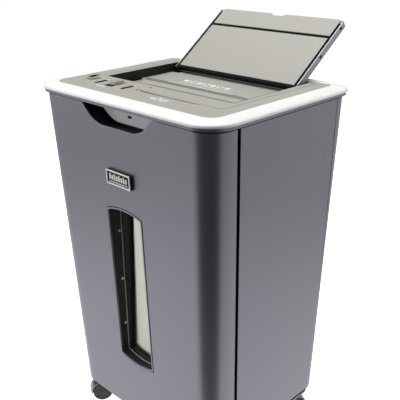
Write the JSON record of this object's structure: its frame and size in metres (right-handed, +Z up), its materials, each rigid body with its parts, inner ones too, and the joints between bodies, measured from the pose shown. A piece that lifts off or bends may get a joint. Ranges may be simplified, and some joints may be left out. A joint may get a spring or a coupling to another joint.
{
  "type": "paper shredder",
  "caption": "Office paper shredder on casters: slotted head with folding feed lid, geared cutter rolls, and a pull-out bin with a viewing window and liner.",
  "frame": {"origin": "on the floor, under the middle of the whole object with its lid open", "axes": "+Z up, the bin front and window face -Y, +X is to the right seen from the front"},
  "size_m": [0.43, 0.4064, 0.7473],
  "materials": {
    "body_grey": "fine satin",
    "beige": "satin",
    "silver_rim": "smooth silver white",
    "black": "matt",
    "steel": "plain",
    "bright": "polished",
    "gear_nylon": "natural nylon",
    "clear": "clear",
    "rubber": "hard tread",
    "board": "circuit board"
  },
  "bodies": {
    "cabinet": {"top_rim": "silver_rim", "head_skirt": "body_grey", "deck_panel": "beige", "recess_walls": "black", "feed_floor": "beige", "card_chute": "black", "paper_guide": "black", "side_panel_left": "body_grey", "side_panel_right": "body_grey", "rear_cover": "body_grey", "base_plate": "body_grey", "frame_left": "black", "frame_right": "black", "head_chassis": "black", "cutter_plate_left": "steel", "cutter_plate_right": "steel", "stripper_front": "steel", "stripper_rear": "steel", "motor": "steel", "control_board": "board", "cord_gland": "black", "bin_switch": "black", "rail_left": "steel", "rail_right": "steel", "lid_hinge_pin": "steel"},
    "bin": {"bin_front": "body_grey", "handle_pocket": "black", "badge_base": "black", "badge_frame": "bright", "window_trim": "silver_rim", "window_reveal": "black", "window_pane": "clear", "drawer_tray": "black", "liner_bin": "beige", "reveal_screw_left_1": "bright", "reveal_screw_left_2": "bright", "reveal_screw_left_3": "bright", "reveal_screw_right_1": "bright", "reveal_screw_right_2": "bright", "reveal_screw_right_3": "bright"},
    "lid": {"lid_shell": "body_grey", "lid_plate_lower": "beige", "lid_plate_upper": "beige"},
    "knob": {"selector_knob": "beige"},
    "slider": {"mode_slider": "beige"},
    "rear_roll": {"cutter_roll_rear": "steel", "timing_gear_rear": "gear_nylon", "drive_gear": "gear_nylon"},
    "front_roll": {"cutter_roll_front": "steel", "timing_gear_front": "gear_nylon"},
    "layshaft": {"lay_gear": "gear_nylon"},
    "pinion": {"motor_pinion": "steel"},
    "swivel_front_left": {"caster_hood_front_left": "body_grey"},
    "wheel_front_left": {"caster_wheel_front_left": "rubber"},
    "swivel_front_right": {"caster_hood_front_right": "body_grey"},
    "wheel_front_right": {"caster_wheel_front_right": "rubber"},
    "swivel_rear_left": {"caster_hood_rear_left": "body_grey"},
    "wheel_rear_left": {"caster_wheel_rear_left": "rubber"},
    "swivel_rear_right": {"caster_hood_rear_right": "body_grey"},
    "wheel_rear_right": {"caster_wheel_rear_right": "rubber"}
  },
  "joints": [
    {"name": "lid_hinge", "type": "hinge", "parent": "cabinet", "child": "lid", "pos_m": [0, 0.07112, 0.6512], "axis": [1, 0, 0], "range_deg": [0, 144]},
    {"name": "bin_slide", "type": "slide", "parent": "cabinet", "child": "bin", "axis": [0, -1, 0], "range_m": [0, 0.18]},
    {"name": "knob_turn", "type": "hinge", "parent": "cabinet", "child": "knob", "pos_m": [-0.152, -0.11968, 0.658], "axis": [0, 0, 1], "range_deg": [-60, 60]},
    {"name": "slider_move", "type": "slide", "parent": "cabinet", "child": "slider", "axis": [0, -1, 0], "range_m": [0, 0.007]},
    {"name": "rear_roll_spin", "type": "hinge", "parent": "cabinet", "child": "rear_roll", "pos_m": [0, -0.01818, 0.553], "axis": [1, 0, 0], "continuous": true},
    {"name": "front_roll_spin", "type": "hinge", "parent": "cabinet", "child": "front_roll", "pos_m": [0, -0.04318, 0.553], "axis": [1, 0, 0], "continuous": true},
    {"name": "layshaft_spin", "type": "hinge", "parent": "cabinet", "child": "layshaft", "pos_m": [0.136, 0.01857, 0.553], "axis": [1, 0, 0], "continuous": true},
    {"name": "pinion_spin", "type": "hinge", "parent": "cabinet", "child": "pinion", "pos_m": [0.136, 0.04857, 0.553], "axis": [1, 0, 0], "continuous": true},
    {"name": "swivel_front_left_turn", "type": "hinge", "parent": "cabinet", "child": "swivel_front_left", "pos_m": [-0.149, -0.14168, 0.05], "axis": [0, 0, 1], "continuous": true},
    {"name": "wheel_front_left_spin", "type": "hinge", "parent": "swivel_front_left", "child": "wheel_front_left", "pos_m": [-0.1555, -0.15294, 0.02], "axis": [-0.866, 0.5, 0], "continuous": true},
    {"name": "swivel_front_right_turn", "type": "hinge", "parent": "cabinet", "child": "swivel_front_right", "pos_m": [0.149, -0.14168, 0.05], "axis": [0, 0, 1], "continuous": true},
    {"name": "wheel_front_right_spin", "type": "hinge", "parent": "swivel_front_right", "child": "wheel_front_right", "pos_m": [0.13752, -0.13558, 0.02], "axis": [0.4695, 0.8829, 0], "continuous": true},
    {"name": "swivel_rear_left_turn", "type": "hinge", "parent": "cabinet", "child": "swivel_rear_left", "pos_m": [-0.149, 0.07032, 0.05], "axis": [0, 0, 1], "continuous": true},
    {"name": "wheel_rear_left_spin", "type": "hinge", "parent": "swivel_rear_left", "child": "wheel_rear_left", "pos_m": [-0.16136, 0.0663, 0.02], "axis": [-0.309, 0.9511, 0], "continuous": true},
    {"name": "swivel_rear_right_turn", "type": "hinge", "parent": "cabinet", "child": "swivel_rear_right", "pos_m": [0.149, 0.07032, 0.05], "axis": [0, 0, 1], "continuous": true},
    {"name": "wheel_rear_right_spin", "type": "hinge", "parent": "swivel_rear_right", "child": "wheel_rear_right", "pos_m": [0.1555, 0.08158, 0.02], "axis": [0.866, -0.5, 0], "continuous": true}
  ],
  "couplings": [
    {"joint": "front_roll_spin", "follows": "rear_roll_spin", "ratio": -1},
    {"joint": "layshaft_spin", "follows": "rear_roll_spin", "ratio": -2},
    {"joint": "pinion_spin", "follows": "rear_roll_spin", "ratio": 6}
  ]
}
